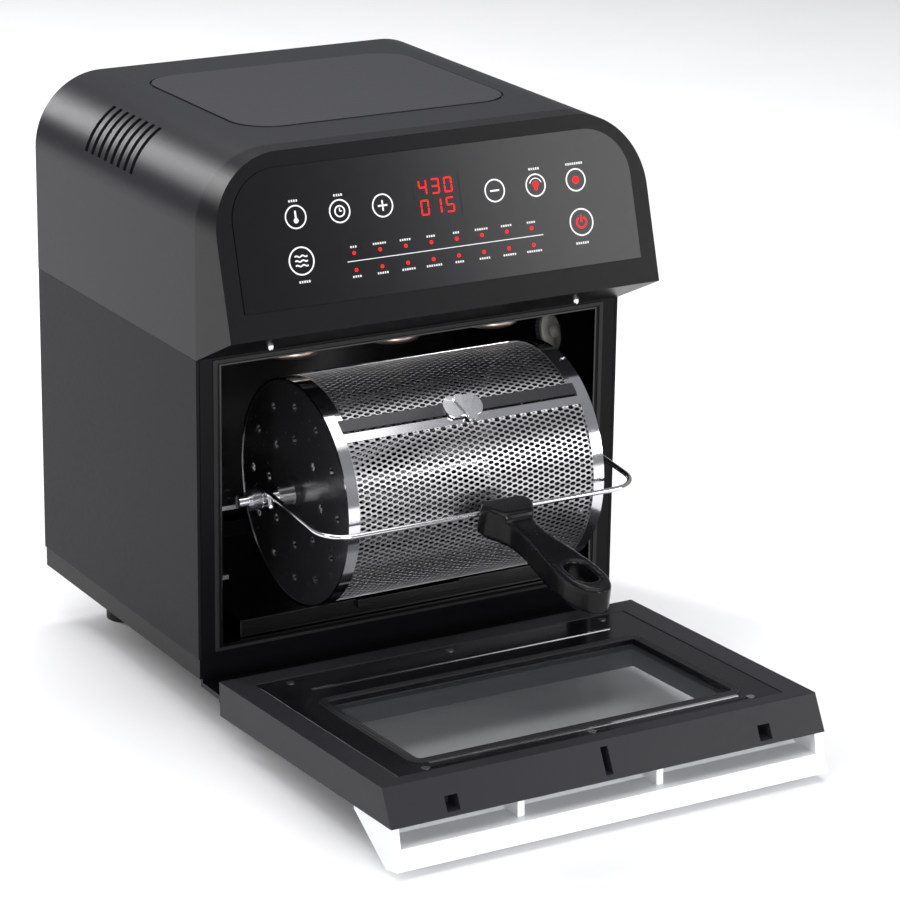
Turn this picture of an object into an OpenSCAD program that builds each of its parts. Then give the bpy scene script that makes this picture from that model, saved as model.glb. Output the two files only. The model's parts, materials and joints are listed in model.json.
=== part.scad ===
// Countertop rotisserie oven, door down, drum on its retrieval tool.
// Frame: X right, Y to the back, Z up; origin under the middle of the case, on the table.

/* [Case] */
// width over the side panels
body_w = 320; // [290:1:350]
// depth of the case, front frame to rear panel
body_d = 247; // [225:1:280]
// height of the side panels
lower_h = 206; // [200:1:225]
// height of the top housing above the side panels
upper_h = 136; // [115:1:160]
// radius of the long rounded top edges
edge_r = 50; // [40:1:60]
// sheet and moulding wall
wall = 2.4; // [1.8:0.1:3]
// height of the base moulding
base_h = 14; // [11:1:17]
// foot height below the base
foot_h = 36; // [30:1:42]
// number of vent slots in each rounded edge
vents = 8; // [6:1:10]
// pitch of the vent slots
vent_pitch = 9.9; // [8:0.1:11]

/* [Bezel] */
// how far the bezel's lower edge stands forward
bezel_out = 50; // [42:1:56]
// rise of the underside to that edge
chin_rise = 24; // [22:1:30]
// lean of the bezel face from upright
bezel_lean = 16.8; // [14:0.1:19]

/* [Cavity] */
// from the liner's inside to the outside of the case, each side
side_gap = 18; // [14:1:22]
// depth of the cavity
cav_d = 187; // [180:1:195]
// heater tube diameter
heater_d = 6; // [5:0.1:6.6]

/* [Door] */
// door thickness
door_t = 23.5; // [20:0.5:26]
// angle that the door is down from closed
door_open = 87.4; // [70:0.1:88]
// from the window to the outside of the case, each side
win_gap = 44; // [40:1:64]
// window height
win_h = 118; // [95:1:124]
// gap behind the handle for the fingers
grip_gap = 14; // [11:0.5:16]

/* [Drum] */
// drum radius
drum_r = 75; // [62:1:76]
// from each end of the drum to the liner
drum_gap = 46; // [42:1:62]
// shaft diameter
shaft_d = 8; // [7:0.1:9]
// distance of the shaft in front of the front frame
drum_out = 12; // [8:1:20]

/* [Tool] */
// wire diameter
wire_d = 3.5; // [2.8:0.1:4]
// reach of the wire frame in front of the shaft
tool_reach = 87; // [85:1:95]
// length of the grip
grip_len = 126; // [105:1:140]
// thickness of the grip
grip_t = 18; // [14:1:19]
// how far the head of the grip stands above the rest
head_rise = 4; // [0:0.5:5]

/* [View] */
// sub-part to show

/* [Hidden] */
$fn = 48;
hw = body_w / 2;
cav_hw = hw - side_gap;               // half width inside the liner
win_hw = hw - win_gap;                // half width of the window
drum_hl = cav_hw - drum_gap;          // half length of the drum over the rims
top_hw = hw - 58;                     // half width of the recess in the top
screw_x = hw - 40;                    // outer door screws
tray_hw = cav_hw - 15;                // half width of the tray
arm_x = cav_hw - 24;                  // tool's wire arms, between collar and bushing
bush_in = cav_hw - 21.4;              // bushing's inner end, over the left rail's end
bush_step = cav_hw - 20;
bush_out = cav_hw - 13.5;
fork_in = cav_hw - 11;                // drive fork's open end
fork_back = cav_hw - 1.4;
collar_in = drum_hl + 3;              // shaft collars outside the drum
collar_out = drum_hl + 14;
knuckle_x = drum_hl - 36;             // outer knuckles of the hatch
z_seam = 22;                          // base to side panels
z_top0 = z_seam + lower_h;            // side panels to top housing
z_top = z_top0 + upper_h;
z_base = z_seam - base_h;
floor_z = z_base - foot_h;            // datum of the case above the table
cav_z0 = 30;                          // cavity floor
cav_z1 = z_top0 - 6;                  // cavity ceiling
axis_z = 132;                         // drum axis
axis_home = 100;                      // drum axis when home
hinge_y = -19.4;
hinge_z = -2;
door_gap = 0.8;
door_y0 = -door_gap - door_t;
door_z0 = 8;
chin_k = chin_rise / bezel_out;
door_top_in = z_top0 - 1.6;
door_top_out = door_top_in + door_t * chin_k;
face_len = (upper_h - chin_rise) / cos(bezel_lean);
panel_hw = hw - 12;
panel_r = 34;
strip_a = 50;                         // latch strip, degrees above straight ahead
rod_a = 118;                          // hatch rod, same way round
slot_a = 22;                          // slope of the tool's hook slots
wr = wire_d / 2;
sr = shaft_d / 2;
tray_z = cav_z0 + 0.4;
catch_x = hw - 45;
foot_x = hw - 48;
foot_y = 34;                          // feet from the front and the rear
hinge_x = hw - 42;                    // middle of each hinge
fan_y = 105;                          // convection and cooling fan
led_x = -65.5;                        // first indicator
led_pitch = 18.9;
led_u = 35.5;
led_row = 11;
handle_z = 189;                       // where the handle's outer skin leaves the door
brow_y = -53;                         // bend in that skin
catch_y = -17;
pin_r = 2.15;
pin_tip = z_top0 + 5;                 // sprung pin's lowest point
tool_tilt = 5.5;
shell = 1;

// ---- placing ----
module place() { translate([0, -body_d / 2, -floor_z]) children(); }
module both() { children(); mirror([1, 0, 0]) children(); }
module xcyl(r, x0, x1, y, z) { translate([x0, y, z]) rotate([0, 90, 0]) cylinder(r = r, h = x1 - x0); }
module ycyl(r, x, y0, y1, z) { translate([x, y0, z]) rotate([-90, 0, 0]) cylinder(r = r, h = y1 - y0); }
module zcyl(r, x, y, z0, z1) { translate([x, y, z0]) cylinder(r = r, h = z1 - z0); }
module bar(x0, x1, y0, y1, z0, z1) { translate([x0, y0, z0]) cube([x1 - x0, y1 - y0, z1 - z0]); }
// a side profile in (y, z), drawn along X
module side(x0, x1) { translate([x0, 0, 0]) rotate([90, 0, 90]) linear_extrude(x1 - x0) children(); }
module door_down() {
  translate([0, hinge_y, hinge_z]) rotate([door_open, 0, 0]) translate([0, -hinge_y, -hinge_z]) children();
}
module on_face() { translate([0, -bezel_out, z_top0 + chin_rise]) rotate([90 - bezel_lean, 0, 0]) children(); }
module on_drum() { translate([0, -drum_out, axis_z]) children(); }
// turned about the drum axis to an angle above straight ahead; local Y is outward
module at_angle(a) { on_drum() rotate([180 - a, 0, 0]) children(); }

// ---- outlines ----
module arch(in, top) {
  r = edge_r - in;
  translate([-hw + in, z_top0]) square([2 * (hw - in), upper_h - edge_r]);
  translate([-hw + edge_r, z_top0]) square([2 * (hw - edge_r), upper_h - top]);
  for (s = [-1, 1]) translate([s * (hw - edge_r), z_top - edge_r]) circle(r);
}
module rounded(w, h, r) {
  square([w - 2 * r, h], center = true);
  square([w, h - 2 * r], center = true);
  for (i = [-1, 1], j = [-1, 1]) translate([i * (w / 2 - r), j * (h / 2 - r)]) circle(r);
}
module panel_outline(in) {
  w = panel_hw - in;
  h0 = 17 + in;
  h1 = face_len - 10 - in;
  translate([-w, h0]) square([2 * w, h1 - h0 - panel_r + in]);
  translate([-w + panel_r - in, h0]) square([2 * (w - panel_r + in), h1 - h0]);
  for (s = [-1, 1]) translate([s * (w - panel_r + in), h1 - panel_r + in]) circle(panel_r - in);
}
module bezel_side(in) {
  f = face_len;
  polygon([[0, z_top0 + in], [-bezel_out + in, z_top0 + chin_rise + in],
    [-bezel_out + f * sin(bezel_lean) + in, z_top - in], [0, z_top - in]]);
}

// ---- case ----
module base_pan() { color("#2a2a2c") place() {
  difference() {
    bar(-hw + 1, hw - 1, 0.5, body_d - 0.5, z_base, z_seam);
    bar(-hw + 4, hw - 4, 3.5, body_d - 3.5, z_base + 3, z_seam + 1);
    for (s = [-1, 1], y = [foot_y, body_d - foot_y]) zcyl(2.1, s * foot_x, y, z_base - 1, z_base + 4);
    for (i = [-4 : 4]) bar(i * 16 - 3, i * 16 + 3, 90, 150, z_base - 1, z_base + 4);
  }
  difference() {
    union() {
      bar(-hw + 3, hw - 3, -26, 3, 2, 5.5);
      bar(-hw + 3, hw - 3, 0.5, 3, 2, z_base + 2);
      both() bar(hinge_x - 12, hinge_x + 12, -25, 10, -8, 2);
      both() bar(hinge_x - 12, hinge_x + 12, 0.5, 10, 2, z_base);
    }
    both() bar(hinge_x - 5, hinge_x + 5, -27, -10.5, -9, 8);
    both() xcyl(3, hinge_x - 9, hinge_x + 9, hinge_y, hinge_z);
  }
} }
module feet() { color("#1b1b1c") place() for (s = [-1, 1], y = [foot_y, body_d - foot_y]) difference() {
  union() {
    zcyl(12, s * foot_x, y, floor_z + 4, z_base);
    zcyl(15, s * foot_x, y, floor_z, floor_z + 6);
  }
  zcyl(2, s * foot_x, y, z_base - 12, z_base + 1);
  zcyl(5, s * foot_x, y, floor_z - 1, floor_z + 8);
} }
module foot_screws() { color("#9a9a9a") place() for (s = [-1, 1], y = [foot_y, body_d - foot_y]) {
  zcyl(1.95, s * foot_x, y, z_base - 11, z_base + 3);
  zcyl(3.6, s * foot_x, y, z_base + 3, z_base + 5);
} }
module hinge_pins() { color("#b8b8b8") place() both() xcyl(2.95, hinge_x - 8.8, hinge_x + 8.8, hinge_y, hinge_z); }
module side_panel() {
  x = hw - wall;
  difference() {
    union() {
      bar(x, hw, 0, body_d, z_seam, z_top0);
      bar(x - 6, hw, body_d - 5, body_d - 3.4, z_seam + 1, z_top0 - 1);
    }
    for (z = [z_seam + 20, z_top0 - 30]) ycyl(1.6, x - 3, body_d - 6, body_d - 3, z);
  }
}
module left_side_panel() { color("#3c3d40") place() mirror([1, 0, 0]) side_panel(); }
module right_side_panel() { color("#3c3d40") place() side_panel(); }
module rear_panel() { color("#37383a") place() difference() {
  union() {
    bar(-hw + wall + 0.2, hw - wall - 0.2, body_d - 3.2, body_d, z_seam + 0.2, z_top0);
    translate([0, body_d, 0]) rotate([90, 0, 0]) linear_extrude(3.2) arch(wall + 0.2, wall + 0.2);
  }
  for (s = [-1, 1], z = [z_seam + 20, z_top0 - 30]) ycyl(1.6, s * (hw - wall - 3), body_d - 4, body_d + 1, z);
  for (s = [-1, 1]) ycyl(1.6, s * (hw - 20), body_d - 4, body_d + 1, z_top - 40);
  for (i = [-5 : 5]) bar(i * 14 - 3, i * 14 + 3, body_d - 4, body_d + 1, z_top - 70, z_top - 30);
  ycyl(9, -hw + 40, body_d - 4, body_d + 1, 50);
} }
module rear_screws() { color("#8d8d8d") place() for (s = [-1, 1]) {
  for (z = [z_seam + 20, z_top0 - 30]) {
    ycyl(1.5, s * (hw - wall - 3), body_d - 6, body_d, z);
    ycyl(2.9, s * (hw - wall - 3), body_d, body_d + 1.8, z);
  }
  ycyl(1.5, s * (hw - 20), body_d - 6, body_d, z_top - 40);
  ycyl(2.9, s * (hw - 20), body_d, body_d + 1.8, z_top - 40);
} }
module cord_inlet() { color("#161616") place() difference() {
  union() {
    ycyl(8.9, -hw + 40, body_d - 8, body_d, 50);
    ycyl(13, -hw + 40, body_d, body_d + 4, 50);
    ycyl(6, -hw + 40, body_d + 4, body_d + 16, 50);
  }
  ycyl(3.4, -hw + 40, body_d - 9, body_d + 17, 50);
} }
module top_housing() { color("#55575b") place() difference() {
  translate([0, body_d, 0]) rotate([90, 0, 0]) linear_extrude(body_d) difference() {
    arch(0, 0);
    arch(wall, wall);
    translate([-hw + wall, z_top0 - 1]) square([2 * (hw - wall), 8]);
  }
  translate([0, body_d / 2, z_top - 1.2]) linear_extrude(3) rounded(2 * top_hw, body_d - 79, 28);
  for (s = [-1, 1], i = [0 : vents - 1])
    translate([s * (hw - edge_r), body_d - 79 - i * vent_pitch, z_top - edge_r])
      rotate([0, s * 52, 0]) bar(-18, 18, -2.2, 2.2, edge_r - 8, edge_r + 4);
} }
module top_plate() { color("#8b8e93") place()
  translate([0, body_d / 2, z_top - 1.2]) linear_extrude(1.6) rounded(2 * top_hw - 3, body_d - 82, 26.5); }
module front_bezel() { color("#1c1c1e") place() difference() {
  intersection() {
    side(-hw, hw) bezel_side(0);
    rotate([90, 0, 0]) linear_extrude(bezel_out + 1) arch(0, 0);
  }
  intersection() {
    side(-hw + 4, hw - 4) bezel_side(3);
    translate([0, 1, 0]) rotate([90, 0, 0]) linear_extrude(bezel_out) arch(3, 3);
  }
  on_face() translate([0, 0, -8]) linear_extrude(12) panel_outline(3);
  on_face() translate([0, 0, -1.6]) linear_extrude(4) panel_outline(0);
  both() zcyl(pin_r + 0.05, catch_x, catch_y, z_top0 - 1, z_top0 + 30);
} }
module control_panel() { color("#0b0b0d") place() difference() {
  on_face() translate([0, 0, -1.6]) linear_extrude(2.2) panel_outline(0.25);
  on_face() bar(-17, 17, 61, 90, -0.6, 3);
  on_face() for (i = [0 : 7], j = [0, 1]) zcyl(1.3, led_x + i * led_pitch, led_u + j * led_row, -3, 3);
} }
module display_window() { color("#050506") place() on_face() bar(-16.8, 16.8, 61.2, 89.8, -0.6, 0.5); }
// segments of one digit, in a 6 x 10 cell: top, upper left, upper right, middle, lower left, lower right, bottom
module segs(on) {
  if (on[0]) bar(0.6, 5.4, 9, 10, 0, 0.2);
  if (on[1]) bar(0, 1, 5.4, 9.4, 0, 0.2);
  if (on[2]) bar(5, 6, 5.4, 9.4, 0, 0.2);
  if (on[3]) bar(0.6, 5.4, 4.5, 5.5, 0, 0.2);
  if (on[4]) bar(0, 1, 0.6, 4.6, 0, 0.2);
  if (on[5]) bar(5, 6, 0.6, 4.6, 0, 0.2);
  if (on[6]) bar(0.6, 5.4, 0, 1, 0, 0.2);
}
module display_digits() { color("#ff2a1a") place() on_face() {
  d = [[0, 1, 1, 1, 0, 1, 0], [1, 0, 1, 1, 0, 1, 1], [1, 1, 1, 0, 1, 1, 1], [1, 1, 1, 0, 1, 1, 1],
    [0, 0, 1, 0, 0, 1, 0], [1, 1, 0, 1, 0, 1, 1]];
  for (k = [0 : 5]) translate([-13 + (k % 3) * 9.4, k < 3 ? 77 : 64, 0.5]) segs(d[k]);
} }
module indicator_leds() { color("#ff4a3a") place() on_face()
  for (i = [0 : 7], j = [0, 1]) zcyl(1.25, led_x + i * led_pitch, led_u + j * led_row, -7, 0.8); }
module control_board() { color("#1f5a34") place() difference() {
  on_face() bar(-panel_hw + 30, panel_hw - 30, 26, 94, -9, -7);
  on_face() both() zcyl(1.6, panel_hw - 36, 30, -10, -6);
} }
module power_board() { color("#2b6b3d") place() translate([-hw, 0, 0]) {
  bar(10, 80, 60, 190, 268, 269.6);
  for (y = [68, 182], x = [22, 74]) zcyl(3, x, y, cav_z1 + 1, 268);
  bar(20, 48, 80, 112, 269.6, 294);
  zcyl(9, 64, 96, 269.6, 292);
  bar(20, 40, 140, 156, 269.6, 284);
} }
module front_frame() { color("#1a1b1d") place() difference() {
  bar(-hw + wall + 0.2, hw - wall - 0.2, 0, 2.2, z_seam, z_top0);
  bar(-cav_hw - 1.4, cav_hw + 1.4, -1, 3, cav_z0 - 1.2, cav_z1 + 1.2);
} }
module door_seal() { color("#6d3a30") place() difference() {
  bar(-cav_hw - 6, cav_hw + 6, -0.55, 0, cav_z0 - 4, cav_z1 + 4.4);
  bar(-cav_hw - 3, cav_hw + 3, -1, 1, cav_z0 - 2, cav_z1 + 2);
} }
module oven_liner() { color("#8f9194") place() {
  difference() {
    bar(-cav_hw - 1.2, cav_hw + 1.2, 0.2, cav_d + 4.2, cav_z0 - 1, cav_z1 + 1);
    bar(-cav_hw, cav_hw, -1, cav_d + 3, cav_z0, cav_z1);
    xcyl(6, cav_hw - 2, cav_hw + 3, axis_home, axis_z);
    xcyl(15, cav_hw - 2, cav_hw + 3, 58, 190);
    both() ycyl(heater_d / 2 + 0.3, 95, cav_d, cav_d + 6, cav_z1 - 5.5);
    for (a = [0 : 30 : 330], r = [18, 32, 46])
      translate([0, fan_y, 0]) rotate([0, 0, a + r]) zcyl(2 + r / 16, r, 0, cav_z1 - 1, cav_z1 + 3);
  }
  bar(-cav_hw - 1.2, cav_hw + 1.2, 3.6, 20, z_base + 3, z_base + 4);
  both() bar(cav_hw - 12, cav_hw - 10, 4, cav_d, z_base + 3, cav_z0 - 1);
} }
module shaft_rails() { color("#a9abad") place() {
  bar(-cav_hw, -bush_in, 3, axis_home + 12, axis_z - 10, axis_z - 7.05);
  bar(-cav_hw, -bush_in, axis_home + 8, axis_home + 12, axis_z - 7.05, axis_z + 2);
  bar(cav_hw - 21, cav_hw, 3, 84, axis_z - 8, axis_z - sr - 0.05);
  bar(cav_hw - 21, fork_in - 1.4, 83, axis_home + 8, axis_z - 8, axis_z - sr - 0.05);
  both() bar(cav_hw - 6, cav_hw, 3, 180, 74, 77);
} }
heater_x = [for (i = [0 : 5]) -95 + 38 * i];
module heater_brackets() { color("#7c7c7e") place() for (y = [52, 140])
  difference() {
    bar(-104, 104, y - 1.5, y + 1.5, cav_z1 - 8, cav_z1);
    for (x = heater_x) ycyl(heater_d / 2, x, y - 2, y + 2, cav_z1 - 5.5);
  } }
module heating_element() { color("#5b4a42") place() translate([0, 0, cav_z1 - 5.5]) {
  for (x = heater_x) ycyl(heater_d / 2, x, 34, abs(x) > 94 ? cav_d + 14 : 156, 0);
  for (x = [-76, 0, 76]) translate([x, 34, 0]) rotate([0, 0, 180])
    rotate_extrude(angle = 180) translate([19, 0]) circle(heater_d / 2);
  for (x = [-38, 38]) translate([x, 156, 0])
    rotate_extrude(angle = 180) translate([19, 0]) circle(heater_d / 2);
} }
module fan_cowl() { color("#9b9c9e") place() difference() {
  translate([0, fan_y, cav_z1 + 1]) cylinder(r = 66, h = 22);
  translate([0, fan_y, cav_z1]) cylinder(r = 64.5, h = 21.5);
  zcyl(6, 0, fan_y, cav_z1, cav_z1 + 30);
} }
module fan_motor() { color("#4b4c4e") place() difference() {
  union() {
    zcyl(28, 0, fan_y, 262, 290);
    zcyl(9, 0, fan_y, 258, 294);
  }
  zcyl(3.05, 0, fan_y, 250, 300);
} }
module motor_mount() { color("#8a8c8f") place() difference() {
  union() {
    bar(-44, 44, 85, 125, 256, 258);
    both() for (y = [90, 120]) zcyl(3, 40, y, cav_z1 + 23, 256);
  }
  zcyl(7, 0, fan_y, 250, 260);
} }
module convection_fan() { color("#b4b6b8") place() {
  zcyl(10, 0, fan_y, cav_z1 + 5, cav_z1 + 17);
  zcyl(3, 0, fan_y, cav_z1 + 17, 312);
  for (a = [0 : 60 : 300]) translate([0, fan_y, cav_z1 + 5]) rotate([0, 0, a]) bar(8, 52, -0.8, 0.8, 0, 12);
  zcyl(52, 0, fan_y, cav_z1 + 16.4, cav_z1 + 17.6);
} }
module cooling_fan() { color("#2e2f31") place() difference() {
  union() {
    zcyl(9, 0, fan_y, 298, 310);
    for (a = [20 : 72 : 308]) translate([0, fan_y, 300]) rotate([0, 0, a]) bar(7, 42, -0.9, 0.9, 0, 9);
  }
  zcyl(3, 0, fan_y, 290, 320);
} }
module thermal_cutout() { color("#c9c2ae") place() {
  zcyl(8, 96, 70, cav_z1 + 1, cav_z1 + 9);
  bar(86, 106, 69, 71, cav_z1 + 9, cav_z1 + 14);
} }
module lamp_holder() { color("#d8d4c8") place() difference() {
  xcyl(17, cav_hw + 1.2, cav_hw + 12, 58, 190);
  xcyl(13, cav_hw + 1, cav_hw + 10, 58, 190);
} }
module lamp_bulb() { color("#fff2cc") place() {
  xcyl(5, cav_hw + 5, cav_hw + 10, 58, 190);
  translate([cav_hw + 5, 58, 190]) sphere(5);
} }
module lamp_lens() { color("#cfe0e6") place() difference() {
  xcyl(14.8, cav_hw - 2.5, cav_hw + 1.2, 58, 190);
  xcyl(12.5, cav_hw - 1, cav_hw + 2, 58, 190);
} }
module drum_motor() { color("#56585b") place() difference() {
  union() {
    xcyl(26, cav_hw + 2.2, hw - wall - 0.6, axis_home, axis_z);
    bar(cav_hw + 1.2, cav_hw + 3, axis_home - 34, axis_home + 34, axis_z - 8, axis_z + 8);
  }
  xcyl(4.04, cav_hw, cav_hw + 10, axis_home, axis_z);
} }
module drive_fork() { color("#c4c6c8") place() {
  difference() {
    xcyl(12, fork_in, fork_back, axis_home, axis_z);
    bar(fork_in - 1, fork_back - 1.6, axis_home - 13, axis_home + 13, axis_z - 3.3, axis_z + 3.3);
  }
  xcyl(4, fork_back, cav_hw + 9, axis_home, axis_z);
} }
module catch_pin() {
  translate([catch_x, catch_y, 0]) {
    z = pin_tip + pin_r;
    translate([0, 0, z]) sphere(pin_r);
    zcyl(pin_r, 0, 0, z, z + 18);
    zcyl(4, 0, 0, z + 12, z + 14);
  }
}
module left_catch_pin() { color("#c9cbcd") place() mirror([1, 0, 0]) catch_pin(); }
module right_catch_pin() { color("#c9cbcd") place() catch_pin(); }
module drip_tray() { color("#77797c") place() {
  difference() {
    bar(-tray_hw, tray_hw, 4, 182, tray_z, tray_z + 12);
    bar(-tray_hw + shell, tray_hw - shell, 4 + shell, 182 - shell, tray_z + shell, tray_z + 14);
  }
  bar(-40, 40, 1.2, 4, tray_z + 6, tray_z + 12);
} }

// ---- door, drawn closed and laid open ----
module door_side() {
  polygon([[-door_gap, door_z0], [-door_gap, door_top_in], [door_y0, door_top_out], [door_y0, door_z0]]);
}
module door_shell() { color("#2b2c2f") place() door_down() difference() {
  side(-hw + 0.5, hw - 0.5) door_side();
  bar(-win_hw, win_hw, door_y0 - 1, 1, 77, 77 + win_h);
  bar(-win_hw - 8, win_hw + 8, -8.8, 1, 69, 85 + win_h);
  bar(-hw + 18, hw - 18, -4.8, 1, 25, door_top_in - 11);
  bar(-win_hw - 8, win_hw + 8, door_y0 - 1, door_y0 + 4, 69, 85 + win_h);
  both() bar(catch_x - 4.5, catch_x + 4.5, catch_y - 4.5, catch_y + 4.5, door_top_in - 6, door_top_out + 1);
  bar(-5.5, -0.5, -21, -5, door_top_in - 8, door_top_out + 1);
} }
module door_inner_panel() { color("#0e0e10") place() door_down() difference() {
  bar(-hw + 18.3, hw - 18.3, -4.7, -1.2, 25.3, door_top_in - 11.3);
  bar(-win_hw, win_hw, -6, 1, 77, 77 + win_h);
  for (x = [-screw_x, 0, screw_x]) ycyl(1.7, x, -5, 0, door_top_in - 16);
  for (x = [-screw_x, 0, screw_x]) ycyl(1.7, x, -5, 0, 33);
} }
module inner_glass() { color("#9fb6bd") place() door_down()
  bar(-win_hw - 7.6, win_hw + 7.6, -8.7, -4.8, 69.4, 84.6 + win_h); }
module outer_glass() { color("#8ea4aa") place() door_down()
  bar(-win_hw - 7.6, win_hw + 7.6, door_y0 + 0.2, door_y0 + 3.9, 69.4, 84.6 + win_h); }
module door_strips() { color("#d5d7d9") place() door_down() {
  bar(-win_hw + 2, win_hw - 2, -1.2, -0.85, 50, 52.4);
  bar(-win_hw + 2, win_hw - 2, -1.2, -0.85, 80 + win_h + 5, 80 + win_h + 7.4);
} }
module hinge_arms() { color("#8d8f92") place() door_down() both() difference() {
  union() {
    xcyl(6, hinge_x - 4, hinge_x + 4, hinge_y, hinge_z);
    bar(hinge_x - 4, hinge_x + 4, hinge_y - 4.9, hinge_y + 4.4, hinge_z, door_z0);
  }
  xcyl(3, hinge_x - 5, hinge_x + 5, hinge_y, hinge_z);
} }
module door_screws() { color("#a7a9ab") place() door_down()
  for (x = [-screw_x, 0, screw_x], z = [33, door_top_in - 16]) {
    ycyl(1.6, x, -4.8, -1.2, z);
    ycyl(2.8, x, -1.2, -0.9, z);
  }
}
grip_y = door_y0 - grip_gap;          // inner face of the handle, where the fingers go
lip_z = z_top0 + 9.4;                 // top of that face
waist_z = z_top0 - 13;                // where it turns inward
waist_in = 0.8;                       // how far it has come in by there
foot_in = 7;
foot_z = z_top0 - 24;
root_z = z_top0 - 28;                 // bottom of the handle on the door
rib_z = z_top0 + 2;                   // top of the ribs
crest_y = grip_y - 12;                // outer edge of the handle
crest_z = z_top0 + 15;
module handle_bar() { color("#c8cacc") place() door_down() side(-hw + 7, hw - 7)
  polygon([[door_y0, handle_z], [door_y0 - 2, handle_z], [brow_y, z_top0 + 1], [crest_y, crest_z], [grip_y, lip_z],
    [grip_y + waist_in, waist_z], [grip_y + foot_in, foot_z], [door_y0, root_z]]); }
module handle_end_caps() { color("#b4b6b9") place() door_down() both() side(hw - 7, hw - 1)
  polygon([[door_y0, handle_z], [door_y0 - 2, handle_z], [brow_y, z_top0 + 1], [crest_y, crest_z], [grip_y, lip_z],
    [door_y0, z_top0 + 7]]); }
module handle_ribs() { color("#9da0a3") place() door_down() for (x = [-64, 38]) side(x - 2.5, x + 2.5)
  polygon([[door_y0, rib_z], [grip_y + waist_in * (lip_z - rib_z) / (lip_z - waist_z), rib_z],
    [grip_y + waist_in, waist_z], [grip_y + foot_in, foot_z], [door_y0, root_z]]); }

// ---- drum ----
module shaft_bushing() { color("#d9dadb") place() on_drum() difference() {
  union() {
    xcyl(7, -bush_out, -bush_step, 0, 0);
    xcyl(5.6, -bush_step, -bush_in, 0, 0);
  }
  xcyl(sr + 0.05, -bush_out - 1, -bush_in + 1, 0, 0);
} }
module drum_shaft() { color("#dfe0e1") place() on_drum() {
  xcyl(sr, -cav_hw + 5, fork_in - 0.6, 0, 0);
  bar(fork_in - 0.6, fork_in + 7.4, -5.5, 5.5, -3, 3);
  both() xcyl(8, collar_in, collar_out, 0, 0);
} }
module end_disc() {
  difference() {
    xcyl(drum_r - 0.6, drum_hl - 1.5, drum_hl - 0.5, 0, 0);
    xcyl(sr, drum_hl - 2, drum_hl, 0, 0);
    for (k = [0 : 11]) rotate([k * 30, 0, 0]) xcyl(3, drum_hl - 2, drum_hl, drum_r * 0.78, 0);
    for (k = [0 : 7]) rotate([k * 45, 0, 0]) xcyl(3, drum_hl - 2, drum_hl, drum_r * 0.48, 0);
  }
  difference() {
    xcyl(9.5, drum_hl - 0.5, collar_in, 0, 0);
    xcyl(sr, drum_hl - 1, collar_in + 1, 0, 0);
  }
}
module drum_end_discs() { color("#232325") place() on_drum() both() end_disc(); }
module drum_rims() { color("#e4e5e6") place() on_drum() both() difference() {
  xcyl(drum_r + 1, drum_hl - 8, drum_hl, 0, 0);
  xcyl(drum_r - 0.6, drum_hl - 9, drum_hl + 1, 0, 0);
} }
module wedge(a0, a1, x) { // sector about the drum axis, for cutting
  n = 6;
  pts = [for (i = [0 : n]) let (a = 180 - (a0 + (a1 - a0) * i / n)) [cos(a), sin(a)] * 2 * drum_r];
  translate([-x, 0, 0]) rotate([90, 0, 90]) linear_extrude(2 * x) polygon(concat([[0, 0]], pts));
}
module mesh_tube() {
  difference() {
    xcyl(drum_r - 0.6, -drum_hl + 1.5, drum_hl - 1.5, 0, 0);
    xcyl(drum_r - 1.6, -drum_hl, drum_hl, 0, 0);
  }
}
module drum_mesh() { color("#b9babc") place() on_drum() difference() {
  mesh_tube();
  intersection() {
    xcyl(drum_r + 5, -drum_hl + 9, drum_hl - 9, 0, 0);
    wedge(strip_a - 4, rod_a + 3, drum_hl);
  }
} }
module drum_strips() { color("#dcdddf") place() {
  at_angle(strip_a - 6.5) bar(-drum_hl + 8, drum_hl - 8, drum_r - 0.6, drum_r + 0.6, -3, 3);
} }
module drum_hatch() { color("#c2c3c5") place() {
  on_drum() intersection() {
    difference() {
      xcyl(drum_r + 0.9, -drum_hl + 9.6, drum_hl - 9.6, 0, 0);
      xcyl(drum_r - 0.1, -drum_hl, drum_hl, 0, 0);
    }
    wedge(strip_a - 3, rod_a - 3, drum_hl);
  }
  at_angle(strip_a) bar(-drum_hl + 10, drum_hl - 10, drum_r + 0.3, drum_r + 1.6, -4.4, 4.4);
  at_angle(rod_a) difference() {
    union() {
      for (x = [-knuckle_x, 0, knuckle_x]) xcyl(2.8, x - 8, x + 8, drum_r + 1.4, 0);
      for (x = [-knuckle_x, 0, knuckle_x]) bar(x - 8, x + 8, drum_r, drum_r + 1.2, 1.4, 6);
    }
    xcyl(1.3, -drum_hl, drum_hl, drum_r + 1.4, 0);
  }
} }
module hatch_rod() { color("#d9dadb") place() at_angle(rod_a) {
  xcyl(1.25, -drum_hl + 8, drum_hl - 8, drum_r + 1.4, 0);
} }
latch_t = 1.4;
clip_t = 1.5;
clip_lean = 20;
module hatch_latch() { color("#e6e7e8") place() at_angle(strip_a) translate([2, drum_r + 1.65, 0]) {
  rotate([-90, 0, 0]) linear_extrude(latch_t) rounded(28, 16, 7);
  rotate([-90, 0, 0]) linear_extrude(latch_t + clip_t) rotate(clip_lean) {
    rounded(6, 17, 2.9);
    translate([0, -9]) circle(3.6);
  }
} }

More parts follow.
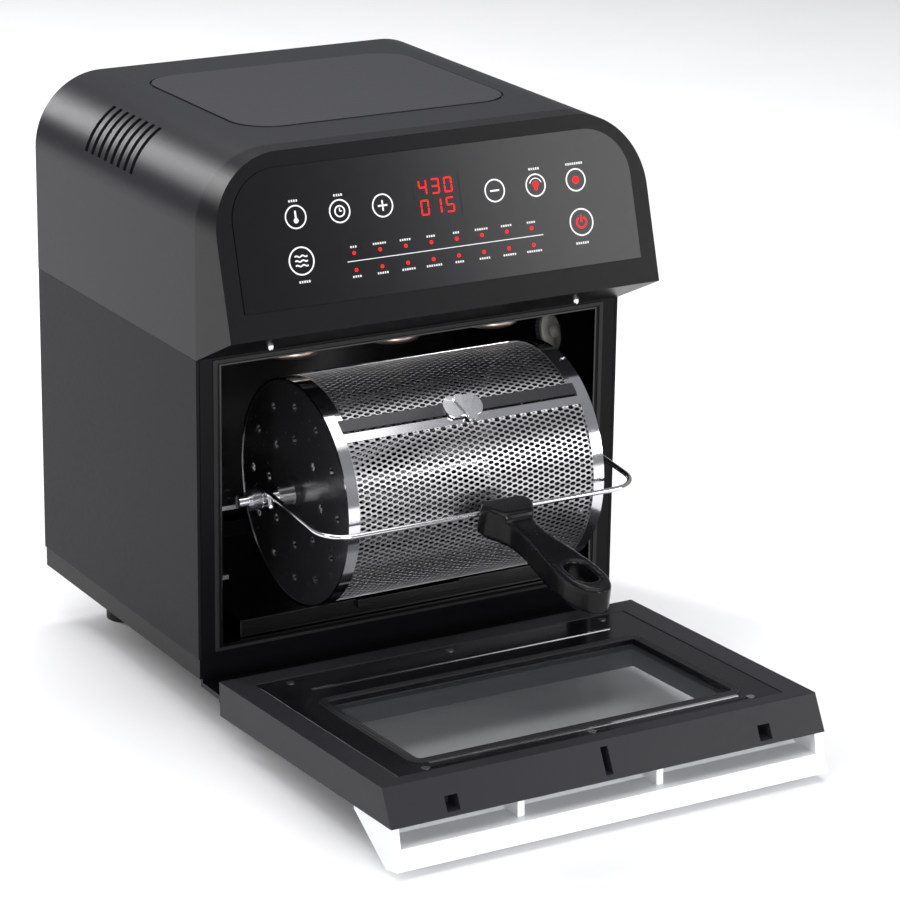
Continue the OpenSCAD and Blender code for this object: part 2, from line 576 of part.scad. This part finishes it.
// ---- retrieval tool ----
module tilted() { on_drum() rotate([tool_tilt, 0, 0]) children(); }
module arm_wire() { // one side: along the arm, then the hook round the front of the shaft
  r = 20;
  x = arm_x;
  a = slot_a + tool_tilt;
  h = sr + 0.5 + wr;
  bead = wr + 0.12;   // round ends, a little fatter than the wire
  stem = wr - 0.15;   // hook's upright, a little thinner so that it ends inside the arm
  ycyl(wr, x, -tool_reach + r, 7, h);
  translate([x, 7, h]) sphere(bead);
  translate([x - r, -tool_reach + r, h]) rotate([0, 0, -90]) rotate_extrude(angle = 90)
    translate([r, 0]) circle(wr);
  xcyl(wr, -1, x - r, -tool_reach, h);
  translate([x, 0, 0]) rotate([-a, 0, 0]) {
    ycyl(wr, 0, -h - 3, 6, -h);
    translate([0, 6, -h]) sphere(bead);
    translate([0, -h - 3, -h]) sphere(bead);
    zcyl(stem, 0, -h - 3, -h, (h - (h + 3) * sin(a)) / cos(a));
  }
}
module tool_wire() { color("#e0e1e3") place() tilted() both() arm_wire(); }
// stations along the grip from the wire: distance, half width
grip_at = [[-9, 12], [-7.6, 15], [-4, 17.4], [2, 18.3], [9, 17.6], [15, 15], [21, 11.6], [28, 9.2], [36, 8.4],
  [46, 8.8], [58, 10.4], [70, 12.2], [82, 13.6], [94, 14.4], [104, 14.2], [112, 12.9], [118, 10.6], [123, 7.2],
  [126, 3]];
grip_x = 10;                          // middle of the grip along the wire
grip_dip = 3;                         // its own slope below the wire frame
grip_under = grip_t - 5;              // part of its thickness that is below the wire
hole_r = 7.5;                         // hanging hole
module grip_outline() {
  k = grip_len / 126;
  p = [for (g = grip_at) [g[1], g[0] > 0 ? -g[0] * k : -g[0] / 5 - 0.6]];
  polygon(concat(p, [for (i = [len(p) - 1 : -1 : 0]) [-p[i][0], p[i][1]]]));
}
module tool_grip() { color("#202124") place() tilted() {
  h = sr + 0.5 + wr;
  difference() {
    translate([grip_x, -tool_reach, h]) rotate([grip_dip, 0, 0]) difference() {
      translate([0, 0, -grip_under]) {
        linear_extrude(grip_t) grip_outline();
        linear_extrude(grip_t + head_rise) intersection() {
          grip_outline();
          translate([0, -10]) rounded(38, 25, 11);
        }
      }
      translate([0, -grip_len + 21, -grip_under - 1]) linear_extrude(grip_t + 2) {
        circle(hole_r);
        translate([-hole_r, 0]) square([2 * hole_r, 13]);
        translate([0, 13]) circle(hole_r);
      }
    }
    xcyl(wr, grip_x - 30, grip_x + 30, -tool_reach, h);
  }
} }

base_pan();
feet();
foot_screws();
hinge_pins();
left_side_panel();
right_side_panel();
rear_panel();
rear_screws();
cord_inlet();
top_housing();
top_plate();
front_bezel();
control_panel();
display_window();
display_digits();
indicator_leds();
control_board();
power_board();
front_frame();
door_seal();
oven_liner();
shaft_rails();
heater_brackets();
heating_element();
fan_cowl();
fan_motor();
motor_mount();
convection_fan();
cooling_fan();
thermal_cutout();
lamp_holder();
lamp_bulb();
lamp_lens();
drum_motor();
drive_fork();
left_catch_pin();
right_catch_pin();
drip_tray();
door_shell();
door_inner_panel();
inner_glass();
outer_glass();
door_strips();
hinge_arms();
door_screws();
handle_bar();
handle_end_caps();
handle_ribs();
shaft_bushing();
drum_shaft();
drum_end_discs();
drum_rims();
drum_mesh();
drum_strips();
drum_hatch();
hatch_rod();
hatch_latch();
tool_wire();
tool_grip();
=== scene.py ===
"""Looks of a rotisserie oven: materials, mesh drum, soft grip, panel prints, lights and camera."""
import json
import math

import bmesh
import bpy
from mathutils import Matrix, Vector

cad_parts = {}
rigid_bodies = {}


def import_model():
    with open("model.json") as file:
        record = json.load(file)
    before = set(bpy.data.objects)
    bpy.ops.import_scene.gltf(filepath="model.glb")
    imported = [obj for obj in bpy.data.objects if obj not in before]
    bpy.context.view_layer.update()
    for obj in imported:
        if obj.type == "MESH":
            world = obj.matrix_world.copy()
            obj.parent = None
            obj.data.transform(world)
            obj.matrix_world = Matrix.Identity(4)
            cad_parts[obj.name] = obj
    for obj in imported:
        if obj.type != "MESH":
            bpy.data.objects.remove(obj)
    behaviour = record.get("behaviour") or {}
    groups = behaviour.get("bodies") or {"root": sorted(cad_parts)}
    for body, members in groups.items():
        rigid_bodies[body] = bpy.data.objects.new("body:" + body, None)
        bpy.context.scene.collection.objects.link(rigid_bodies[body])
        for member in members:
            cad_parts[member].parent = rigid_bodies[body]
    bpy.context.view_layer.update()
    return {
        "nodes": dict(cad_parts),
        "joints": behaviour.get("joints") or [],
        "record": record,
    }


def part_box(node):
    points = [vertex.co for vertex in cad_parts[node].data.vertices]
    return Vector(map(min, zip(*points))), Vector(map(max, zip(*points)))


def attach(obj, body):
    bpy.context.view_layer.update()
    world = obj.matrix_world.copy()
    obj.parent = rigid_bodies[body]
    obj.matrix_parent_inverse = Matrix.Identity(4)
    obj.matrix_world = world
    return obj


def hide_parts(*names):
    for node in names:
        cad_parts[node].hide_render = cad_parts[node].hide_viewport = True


for leftover in list(bpy.data.objects):
    bpy.data.objects.remove(leftover)

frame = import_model()
nodes = frame["nodes"]
joints = {j["name"]: j for j in frame["joints"]}
MM = 0.001

# ---- camera ----
CAMERA_AT = Vector((-1126.43, -2096.18, 934.81)) * MM
CAMERA_AZIMUTH = math.radians(-30.36)
CAMERA_ELEVATION = math.radians(18.58)
CAMERA_ROLL = math.radians(0.82)
LENS_MM = 143.53


def add_camera():
    back = Vector((
        math.sin(CAMERA_AZIMUTH) * math.cos(CAMERA_ELEVATION),
        -math.cos(CAMERA_AZIMUTH) * math.cos(CAMERA_ELEVATION),
        math.sin(CAMERA_ELEVATION),
    ))
    level = (-back).cross(Vector((0, 0, 1))).normalized()
    upright = level.cross(-back)
    right = level * math.cos(CAMERA_ROLL) + upright * math.sin(CAMERA_ROLL)
    up = upright * math.cos(CAMERA_ROLL) - level * math.sin(CAMERA_ROLL)
    data = bpy.data.cameras.new("camera")
    data.lens = LENS_MM
    data.sensor_width = 36
    camera = bpy.data.objects.new("camera", data)
    bpy.context.scene.collection.objects.link(camera)
    camera.matrix_world = Matrix.Translation(CAMERA_AT) @ Matrix((right, up, back)).transposed().to_4x4()
    bpy.context.scene.camera = camera


# ---- materials ----
def surface(name, color, rough, metal=0.0, grain=None, shade=0.15, coat=0.0, glow=None, spec=0.5):
    """A shader whose colour and roughness drift gently; grain is its bump's (scale, height)."""
    m = bpy.data.materials.new(name)
    m.use_nodes = True
    tree = m.node_tree
    shader = tree.nodes["Principled BSDF"]
    shader.inputs["Metallic"].default_value = metal
    shader.inputs["Coat Weight"].default_value = coat
    shader.inputs["Coat Roughness"].default_value = 0.06
    shader.inputs["Specular IOR Level"].default_value = spec
    place = tree.nodes.new("ShaderNodeTexCoord").outputs["Object"]

    def noise(scale, detail):
        texture = tree.nodes.new("ShaderNodeTexNoise")
        texture.inputs["Scale"].default_value = scale
        texture.inputs["Detail"].default_value = detail
        tree.links.new(place, texture.inputs["Vector"])
        return texture.outputs["Fac"]

    def spread(source, low, high):
        node = tree.nodes.new("ShaderNodeMapRange")
        node.inputs["From Min"].default_value = 0.3
        node.inputs["From Max"].default_value = 0.7
        node.inputs["To Min"].default_value = low
        node.inputs["To Max"].default_value = high
        tree.links.new(source, node.inputs["Value"])
        return node.outputs["Result"]

    cloud = noise(9, 4)
    mix = tree.nodes.new("ShaderNodeMix")
    mix.data_type = "RGBA"
    mix.inputs["A"].default_value = [c * (1 - shade) for c in color] + [1]
    mix.inputs["B"].default_value = [min(1, c * (1 + shade)) for c in color] + [1]
    tree.links.new(spread(cloud, 0, 1), mix.inputs["Factor"])
    tree.links.new(mix.outputs["Result"], shader.inputs["Base Color"])
    tree.links.new(spread(noise(220, 5), rough * 0.94, rough * 1.06), shader.inputs["Roughness"])
    if grain:
        scale, height = grain
        bump = tree.nodes.new("ShaderNodeBump")
        bump.inputs["Distance"].default_value = height
        bump.inputs["Strength"].default_value = 0.6
        tree.links.new(noise(scale, 2), bump.inputs["Height"])
        tree.links.new(bump.outputs["Normal"], shader.inputs["Normal"])
    if glow:
        shader.inputs["Emission Color"].default_value = list(color) + [1]
        shader.inputs["Emission Strength"].default_value = glow
    return m


def clear_glass(name, tint, rough, alpha):
    """Thin glass: what is behind it shows through."""
    m = surface(name, tint, rough, shade=0.03)
    m.node_tree.nodes["Principled BSDF"].inputs["Alpha"].default_value = alpha
    return m


FINE = (1600, 0.00003)      # moulded or powder-coat grain
SOFT = (2600, 0.00002)      # soft-touch grain

finish = {
    "charcoal_plastic": surface("housing charcoal", (0.015, 0.0155, 0.018), 0.33, metal=0.05,
                                grain=FINE, shade=0.03, spec=0.12),
    "panel_grey": surface("side panel", (0.007, 0.0073, 0.009), 0.38, grain=FINE, shade=0.03, spec=0.07),
    "rear_grey": surface("rear panel", (0.012, 0.012, 0.014), 0.5, grain=FINE, shade=0.03, spec=0.3),
    "inset_grey": surface("top inset", (0.026, 0.0265, 0.031), 0.36, metal=0.3,
                          grain=FINE, shade=0.03, spec=0.25),
    "black_plastic": surface("black moulding", (0.0028, 0.0028, 0.0034), 0.32,
                             grain=FINE, shade=0.04, spec=0.12),
    "black_gloss": surface("black gloss", (0.0035, 0.0036, 0.0045), 0.18, shade=0.04, spec=0.24),
    "dark_grey_plastic": surface("door moulding", (0.020, 0.020, 0.023), 0.34, grain=FINE, shade=0.04, spec=0.15),
    "silver_plastic": surface("handle silver", (0.86, 0.87, 0.89), 0.34, grain=FINE, shade=0.02),
    "liner_steel": surface("liner steel", (0.060, 0.058, 0.060), 0.22, metal=1, grain=FINE, shade=0.1),
    "bright_steel": surface("bright steel", (0.36, 0.36, 0.38), 0.26, metal=1, grain=FINE, shade=0.08),
    "drum_steel": surface("mesh steel", (0.62, 0.61, 0.62), 0.30, metal=1, grain=FINE, shade=0.08),
    "chrome": surface("chrome", (0.82, 0.82, 0.84), 0.1, metal=1, shade=0.04),
    "black_steel": surface("coated disc", (0.012, 0.012, 0.013), 0.26, coat=0.3, grain=FINE, shade=0.1),
    "heater_metal": surface("heater sheath", (0.33, 0.27, 0.24), 0.36, metal=1, grain=FINE, shade=0.3),
    "motor_grey": surface("motor can", (0.20, 0.20, 0.21), 0.4, metal=1, grain=FINE),
    "rubber_black": surface("rubber", (0.008, 0.008, 0.008), 0.5, grain=SOFT, spec=0.3),
    "grip_black": surface("soft touch grip", (0.003, 0.003, 0.0035), 0.26, grain=SOFT, shade=0.04, spec=0.2),
    "clear_glass": clear_glass("door glass", (0.16, 0.17, 0.18), 0.05, 0.12),
    "board_green": surface("circuit board", (0.02, 0.12, 0.05), 0.45, grain=FINE, shade=0.3),
    "red_light": surface("red light", (0.85, 0.004, 0.004), 0.4, shade=0.01, glow=0.75, spec=0.2),
    "ceramic_white": surface("ceramic", (0.68, 0.66, 0.60), 0.5, grain=FINE),
    "bulb_glass": clear_glass("bulb glass", (0.9, 0.86, 0.78), 0.06, 0.35),
}
white_print = surface("white print", (0.82, 0.82, 0.82), 0.5, shade=0.05)

for part in frame["record"]["subparts"]:
    data = nodes[part["node"]].data
    data.materials.clear()
    data.materials.append(finish[part["material_slot"]])


# ---- edges of the frame's own pieces ----
def soften(node, width):
    """Joins the faces of a CAD piece for shading and rounds its sharp edges."""
    weld = nodes[node].modifiers.new("weld", "WELD")
    weld.merge_threshold = 2e-6
    bevel = nodes[node].modifiers.new("bevel", "BEVEL")
    bevel.width = width * MM
    bevel.segments = 2
    bevel.limit_method = "ANGLE"
    bevel.angle_limit = math.radians(35)
    bevel.harden_normals = True


for name in ("left_side_panel", "right_side_panel", "door_shell", "handle_bar", "handle_end_caps",
             "handle_ribs", "base_pan", "hatch_latch", "door_inner_panel", "drip_tray", "drive_fork"):
    soften(name, 0.4)


# ---- new pieces ----
def piece(name, verts, faces, body, slot, material=None):
    """A new flat-shaded mesh that rides on a CAD body."""
    mesh = bpy.data.meshes.new(name)
    mesh.from_pydata(verts, [], faces)
    mesh.materials.append(material or finish[slot])
    for polygon in mesh.polygons:
        polygon.use_smooth = False
    obj = bpy.data.objects.new(name, mesh)
    bpy.context.scene.collection.objects.link(obj)
    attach(obj, body)
    return obj


def bake_modifiers(obj):
    """The object's mesh as its modifiers leave it, with the modifiers gone."""
    bpy.context.view_layer.update()
    seen = obj.evaluated_get(bpy.context.evaluated_depsgraph_get())
    mesh = bpy.data.meshes.new_from_object(seen)
    obj.modifiers.clear()
    obj.data = mesh


def face_outward(obj):
    """Turns every face of a closed mesh to the outside."""
    turned = bmesh.new()
    turned.from_mesh(obj.data)
    bmesh.ops.recalc_face_normals(turned, faces=turned.faces)
    turned.to_mesh(obj.data)
    turned.free()


# ---- drum ----
axis = Vector(joints["drum_spin"]["pos_m"])
rim_low, rim_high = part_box("drum_rims")
RIM_R = (rim_high.z - rim_low.z) / 2
MESH_R = RIM_R - 1.9 * MM       # middle of the sheet
HATCH_R = RIM_R - 0.6 * MM
DRUM_X = rim_high.x - 3 * MM
CELL_X = 8.1 * MM               # one cell of the perforation along the drum
CELL_ARC = 3.6 * MM             # and round it
HOLE_X, HOLE_ARC = 0.53, 0.70   # the hole's share of its cell, each way
SHEET = 0.5 * MM
BAND = 1.0 * MM                 # thickness of the hatch's strips
STRIP_A, ROD_A = 50, 118        # hatch edges, degrees above straight ahead


def round_drum(x, angle, radius):
    a = math.radians(angle)
    return Vector((x, axis.y - radius * math.cos(a), axis.z + radius * math.sin(a)))


def perforated_sheet(name, radius, half_x, start, end, body, node):
    """Sheet with staggered oval holes, bent round the drum from one angle to the other."""
    columns = round(2 * half_x / CELL_X)
    rows = round(math.radians(end - start) * radius / (CELL_ARC / 2))
    step_x, step_a = 2 * half_x / columns, (end - start) / rows
    cell = [(1, 0), (0.5, 0.5), (0, 1), (-0.5, 0.5), (-1, 0), (-0.5, -0.5), (0, -1), (0.5, -0.5)]
    oval = [(math.cos(k * math.pi / 4), math.sin(k * math.pi / 4)) for k in range(8)]
    verts, faces, index = [], [], {}

    def corner(x, a):
        key = (round(x * 1e7), round(a * 1e4))
        if key not in index:
            index[key] = len(verts)
            verts.append(round_drum(x, a, radius))
        return index[key]

    for row in range(1, rows):
        shift = 0.5 if row % 2 else 1.0
        for column in range(columns - (0 if row % 2 else 1)):
            x, a = -half_x + (column + shift) * step_x, start + row * step_a
            rim = [corner(x + i * step_x / 2, a + j * step_a) for i, j in cell]
            hole = [corner(x + i * HOLE_X * step_x / 2, a + j * HOLE_ARC * step_a) for i, j in oval]
            for k in range(8):
                n = (k + 1) % 8
                faces.append((rim[k], rim[n], hole[n], hole[k]))
    obj = piece(name, verts, faces, body, "drum_steel")
    solid = obj.modifiers.new("sheet", "SOLIDIFY")
    solid.thickness = SHEET
    solid.offset = 0
    bake_modifiers(obj)
    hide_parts(node)


def curved_band(name, radius, thick, half_x0, half_x1, start, end, body, slot, steps):
    """A sheet-metal band bent round the drum, closed on every side."""
    rings = []
    for i in range(steps + 1):
        a = start + (end - start) * i / steps
        rings.append([round_drum(x, a, r) for x, r in (
            (half_x0, radius - thick / 2), (half_x1, radius - thick / 2),
            (half_x1, radius + thick / 2), (half_x0, radius + thick / 2))])
    verts = [v for ring in rings for v in ring]
    faces = [(3, 2, 1, 0), tuple(4 * steps + k for k in range(4))]
    for i in range(steps):
        for k in range(4):
            n = (k + 1) % 4
            faces.append((4 * i + k, 4 * i + n, 4 * i + 4 + n, 4 * i + 4 + k))
    face_outward(piece(name, verts, faces, body, slot))


perforated_sheet("drum_sheet", MESH_R, DRUM_X, ROD_A + 3, 360 + STRIP_A - 4, "drum", "drum_mesh")
perforated_sheet("hatch_sheet", HATCH_R, DRUM_X - 7 * MM, STRIP_A - 2, ROD_A - 4, "hatch", "drum_hatch")
curved_band("hatch_front_strip", RIM_R + 0.1 * MM, BAND, -DRUM_X + 5 * MM, DRUM_X - 5 * MM,
            STRIP_A - 3.2, STRIP_A + 3.2, "hatch", "black_steel", 8)
curved_band("hatch_rear_strip", HATCH_R, BAND, -DRUM_X + 5 * MM, DRUM_X - 5 * MM,
            ROD_A - 7, ROD_A - 3.2, "hatch", "chrome", 6)
for side in (-1, 1):
    label = "left" if side < 0 else "right"
    inner, outer = side * (DRUM_X - 9 * MM), side * (DRUM_X - 4.5 * MM)
    curved_band(f"hatch_{label}_strip", HATCH_R, BAND, inner, outer,
                STRIP_A - 2, ROD_A - 4, "hatch", "chrome", 24)
    curved_band(f"drum_{label}_edge", MESH_R, 0.9 * MM, side * (DRUM_X - 5 * MM), side * DRUM_X,
                STRIP_A - 4, ROD_A + 3, "drum", "chrome", 24)


# ---- tool grip ----
def rounded_copy(node, name, body, slot, voxel, passes):
    """A moulded form of a plain CAD solid: the same volume with soft edges."""
    obj = bpy.data.objects.new(name, nodes[node].data.copy())
    bpy.context.scene.collection.objects.link(obj)
    remesh = obj.modifiers.new("remesh", "REMESH")
    remesh.mode = "VOXEL"
    remesh.voxel_size = voxel * MM
    remesh.use_smooth_shade = True
    smooth = obj.modifiers.new("smooth", "SMOOTH")
    smooth.iterations = passes
    smooth.factor = 0.5
    bake_modifiers(obj)
    obj.data.materials.clear()
    obj.data.materials.append(finish[slot])
    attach(obj, body)
    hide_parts(node)


rounded_copy("tool_grip", "soft_grip", "tool", "grip_black", 0.9, 36)


# ---- door gasket ----
hinge = joints["door_hinge"]
OPEN = math.radians(hinge["range_deg"][1])
door_at = Vector(hinge["pos_m"])
door_up = Vector((0, -math.sin(OPEN), math.cos(OPEN)))
door_out = Vector((0, math.cos(OPEN), math.sin(OPEN)))


def door_reach(node, direction):
    """Least and greatest distance of a node from the hinge, along one of the door's directions."""
    along = [(v.co - door_at).dot(direction) for v in nodes[node].data.vertices]
    return min(along), max(along)


def ridged_frame(name, half_x, low, high, out, profile, body, slot, radius, steps=8):
    """A frame with rounded corners: profile is (distance outside the window, height) pairs, in millimetres."""
    corners = ((1, high - radius), (-1, high - radius), (-1, low + radius), (1, low + radius))
    spokes = []
    for quarter, (way, up) in enumerate(corners):
        for k in range(steps + 1):
            t = math.pi / 2 * (quarter + k / steps)
            spokes.append((way * (half_x - radius), up, math.cos(t), math.sin(t)))
    verts, faces, count = [], [], len(profile)
    for x, up, c, u in spokes:
        for away, height in profile:
            r = radius + away * MM
            verts.append(Vector((x + r * c, door_at.y, door_at.z))
                         + door_up * (up + r * u) + door_out * (out + height * MM))
    for i in range(len(spokes)):
        j = (i + 1) % len(spokes)
        for k in range(count):
            n = (k + 1) % count
            faces.append((i * count + k, i * count + n, j * count + n, j * count + k))
    face_outward(piece(name, verts, faces, body, slot))


LEDGE = 7.6 * MM                # how far the glass runs under the panel round the window
RIDGE, GROOVE = 0.55, 0.15      # heights above the panel's face, in millimetres
gasket_profile = [(0.6, 0), (0.9, RIDGE), (1.9, RIDGE), (2.2, GROOVE), (3.0, GROOVE), (3.3, RIDGE),
                  (4.3, RIDGE), (4.6, GROOVE), (5.4, GROOVE), (5.7, RIDGE), (6.7, RIDGE), (7.0, 0)]
glass_low, glass_high = door_reach("inner_glass", door_up)
glass_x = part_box("inner_glass")[1].x
panel_face = door_reach("door_inner_panel", door_out)[1]
ridged_frame("door_gasket", glass_x - LEDGE, glass_low + LEDGE, glass_high - LEDGE, panel_face,
             gasket_profile, "door", "rubber_black", 2.5 * MM)


# ---- prints on the panel ----
LEAN = math.radians(16.8)       # how far the bezel's face leans back
CHIN = 24 * MM                  # from the bezel's lowest point to the face's foot
bezel_low, bezel_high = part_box("front_bezel")
PRINT_OUT = 0.62 * MM           # the prints lie this far in front of the bezel's face
PRINT_THICK = 0.06 * MM
face_up = Vector((0, math.sin(LEAN), math.cos(LEAN)))
face_out = Vector((0, -math.cos(LEAN), math.sin(LEAN)))
face_foot = Vector((0, bezel_low.y, bezel_low.z + CHIN))


class Prints:
    """Flat shapes in panel millimetres (x, height up the face), gathered into one thin piece."""

    def __init__(self):
        self.verts, self.faces = [], []

    def sheet(self, outline):
        """A convex outline as a thin plate."""
        n, base = len(outline), len(self.verts)
        for out in (PRINT_OUT, PRINT_OUT + PRINT_THICK):
            for x, u in outline:
                self.verts.append(face_foot + Vector((x * MM, 0, 0)) + face_up * u * MM + face_out * out)
        self.faces.append(tuple(base + n + k for k in range(n)))
        self.faces.append(tuple(base + n - 1 - k for k in range(n)))
        for k in range(n):
            j = (k + 1) % n
            self.faces.append((base + k, base + j, base + n + j, base + n + k))

    def disc(self, x, u, r, sides=24):
        self.sheet([(x + r * math.cos(t), u + r * math.sin(t))
                    for t in (2 * math.pi * k / sides for k in range(sides))])

    def line(self, points, width):
        for (x0, u0), (x1, u1) in zip(points, points[1:]):
            length = math.hypot(x1 - x0, u1 - u0)
            dx, du = (x1 - x0) / length * width / 2, (u1 - u0) / length * width / 2
            self.sheet([(x0 + du, u0 - dx), (x1 + du, u1 - dx), (x1 - du, u1 + dx), (x0 - du, u0 + dx)])

    def arc(self, x, u, r, width, start=0, end=360):
        steps = max(8, round((end - start) / 9))
        turns = [math.radians(start + (end - start) * k / steps) for k in range(steps + 1)]
        for a, b in zip(turns, turns[1:]):
            inner, outer = r - width / 2, r + width / 2
            self.sheet([(x + outer * math.cos(a), u + outer * math.sin(a)),
                        (x + outer * math.cos(b), u + outer * math.sin(b)),
                        (x + inner * math.cos(b), u + inner * math.sin(b)),
                        (x + inner * math.cos(a), u + inner * math.sin(a))])

    def ticks(self, x, u, count, height=1.5):
        """A row of plain ticks where the object has a caption."""
        for k in range(count):
            at = x + (k - (count - 1) / 2) * 1.7
            self.line([(at, u - height / 2), (at, u + height / 2)], 0.9)

    def finish(self, name, slot, material):
        return piece(name, self.verts, self.faces, "case", slot, material)


ICON_U, LOW_U = 74, 46
RING, RING_W = 7.2, 0.95
white, red = Prints(), Prints()
for x in (-103.4, -71.8, -40.6, 42.9, 74.1, 105):
    white.arc(x, ICON_U, RING, RING_W)
for x in (-103.4, 105.3):
    white.arc(x, LOW_U, 8.7, RING_W)
white.line([(-103.4, ICON_U - 1), (-103.4, ICON_U + 4)], 1.3)
white.disc(-103.4, ICON_U - 2.4, 1.7)
white.arc(-71.8, ICON_U, 3.4, 0.9)
white.line([(-71.8, ICON_U + 2.2), (-71.8, ICON_U), (-70.2, ICON_U)], 0.7)
white.line([(-44, ICON_U), (-37.2, ICON_U)], 1.1)
white.line([(-40.6, ICON_U - 3.4), (-40.6, ICON_U + 3.4)], 1.1)
white.line([(39.5, ICON_U), (46.3, ICON_U)], 1.1)
white.arc(74.1, ICON_U, 4.6, 0.6, 20, 160)
for row in (-3, 0, 3):
    wave = [(-107.9 + k * 0.9, LOW_U + row + 0.55 * math.sin(k * math.pi / 2.5)) for k in range(11)]
    white.line(wave, 0.9)
for x, u, count in ((-104, 84.3, 4), (-71.8, 84.3, 4), (74.1, 84.8, 5), (105, 84.8, 8),
                    (-103, 32.7, 5), (104, 32.3, 6)):
    white.ticks(x, u, count)
for k in range(8):
    x = -65.5 + k * 18.9
    white.ticks(x, 50.4, 3 + (k * 3) % 4, 1.3)
    white.ticks(x, 31.4, 4 + (k * 5) % 4, 1.3)
white.line([(-71, 41.3), (75, 41.3)], 0.45)
red.disc(74.1, ICON_U + 0.6, 2.2)
red.disc(74.1, ICON_U - 2.2, 1.2)
red.disc(105, ICON_U, 2.5)
red.arc(105.3, LOW_U, 3.6, 1.2, 125, 415)
red.line([(105.3, LOW_U), (105.3, LOW_U + 4.6)], 1.2)
white.finish("panel_marks", "silver_plastic", white_print)
red.finish("panel_red_marks", "red_light", None)


# ---- light and floor ----
def softbox(name, at, target, size, power):
    data = bpy.data.lights.new(name, "AREA")
    data.shape = "RECTANGLE"
    data.size, data.size_y = size
    data.energy = power
    light = bpy.data.objects.new(name, data)
    bpy.context.scene.collection.objects.link(light)
    light.location = at
    light.rotation_euler = (Vector(target) - Vector(at)).to_track_quat("-Z", "Y").to_euler()


def add_studio():
    floor = piece("floor", [(-6, -6, 0), (6, -6, 0), (6, 6, 0), (-6, 6, 0)], [(0, 1, 2, 3)], "case",
                  "ceramic_white", surface("floor", (0.86, 0.86, 0.86), 0.7, shade=0.01))
    floor.parent = None
    world = bpy.data.worlds.new("studio")
    world.use_nodes = True
    world.node_tree.nodes["Background"].inputs["Color"].default_value = (0.92, 0.94, 1, 1)
    world.node_tree.nodes["Background"].inputs["Strength"].default_value = 0.28
    bpy.context.scene.world = world
    softbox("left_box", (-2.2, -0.9, 1.9), (0, 0, 0.3), (0.5, 2.2), 26)
    softbox("front_box", (1.75, -2.1, 0.9), (0, -0.15, 0.3), (1.0, 0.8), 16)
    softbox("fill_box", (-0.4, -3.0, 0.7), (0, -0.3, 0.15), (1.6, 0.9), 50)
    softbox("edge_box", (-0.9, 2.2, 1.5), (-0.1, -0.1, 0.33), (0.22, 1.6), 36)
    softbox("top_box", (0.5, 1.6, 2.3), (0, 0, 0.3), (1.6, 0.6), 30)
    softbox("floor_box", (0, -0.6, 3.4), (0, -0.2, 0), (3.4, 3.4), 70)
    bpy.context.scene.view_settings.view_transform = "Standard"


add_camera()
add_studio()
